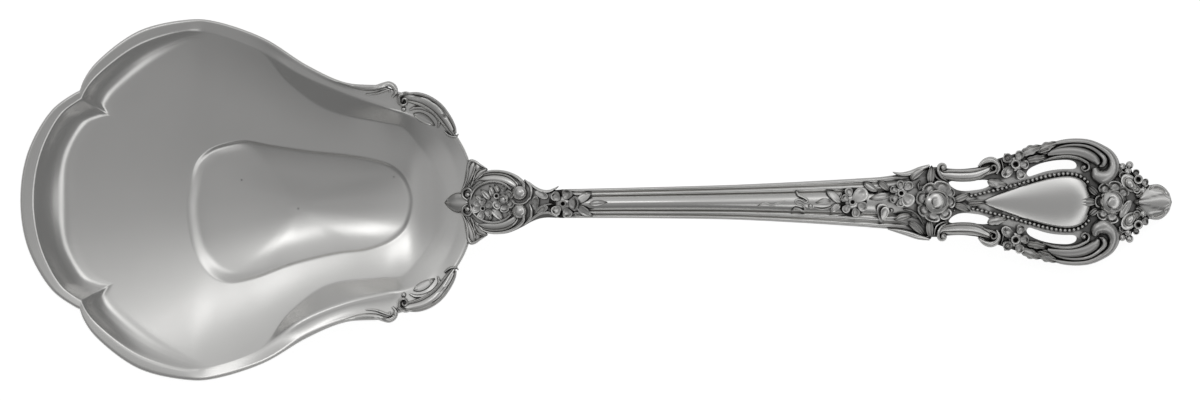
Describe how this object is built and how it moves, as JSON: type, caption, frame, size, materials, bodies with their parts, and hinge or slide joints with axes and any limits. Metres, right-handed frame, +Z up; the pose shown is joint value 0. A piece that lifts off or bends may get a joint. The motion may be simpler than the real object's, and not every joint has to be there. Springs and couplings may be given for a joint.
{
  "type": "salad serving spoon",
  "caption": "Silver salad serving spoon with a wide lobed shell bowl, sunken well, reeded stem and pierced floral handle end with scrolls and beading.",
  "frame": {"origin": "centre of the spoon's outline in plan, at the height of the flat under the bowl that rests on the table", "axes": "+X along the handle towards its tip, +Z up out of the bowl, +Y to the right of someone who holds the handle"},
  "size_m": [0.2308, 0.0724, 0.0193],
  "materials": {
    "polished_silver": "hand-polished silver, fine scratches",
    "relief_silver": "polished relief with dark oxidised recesses"
  },
  "bodies": {
    "root": {"bowl": "polished_silver", "handle": "polished_silver", "shoulder_scroll_left": "relief_silver", "shoulder_scroll_right": "relief_silver", "heel_cartouche": "relief_silver", "cartouche_spray": "relief_silver", "neck_blossom": "relief_silver", "ribbon_spray": "relief_silver", "rose_cluster": "relief_silver", "teardrop_panel": "polished_silver", "bead_border": "polished_silver", "rear_scroll_left": "relief_silver", "side_blossom_left": "relief_silver", "crown_scroll_left": "relief_silver", "rear_scroll_right": "relief_silver", "side_blossom_right": "relief_silver", "crown_scroll_right": "relief_silver", "crown_rose": "relief_silver", "crown_blossom_left": "relief_silver", "crown_blossom_right": "relief_silver", "finial": "polished_silver"}
  },
  "joints": []
}
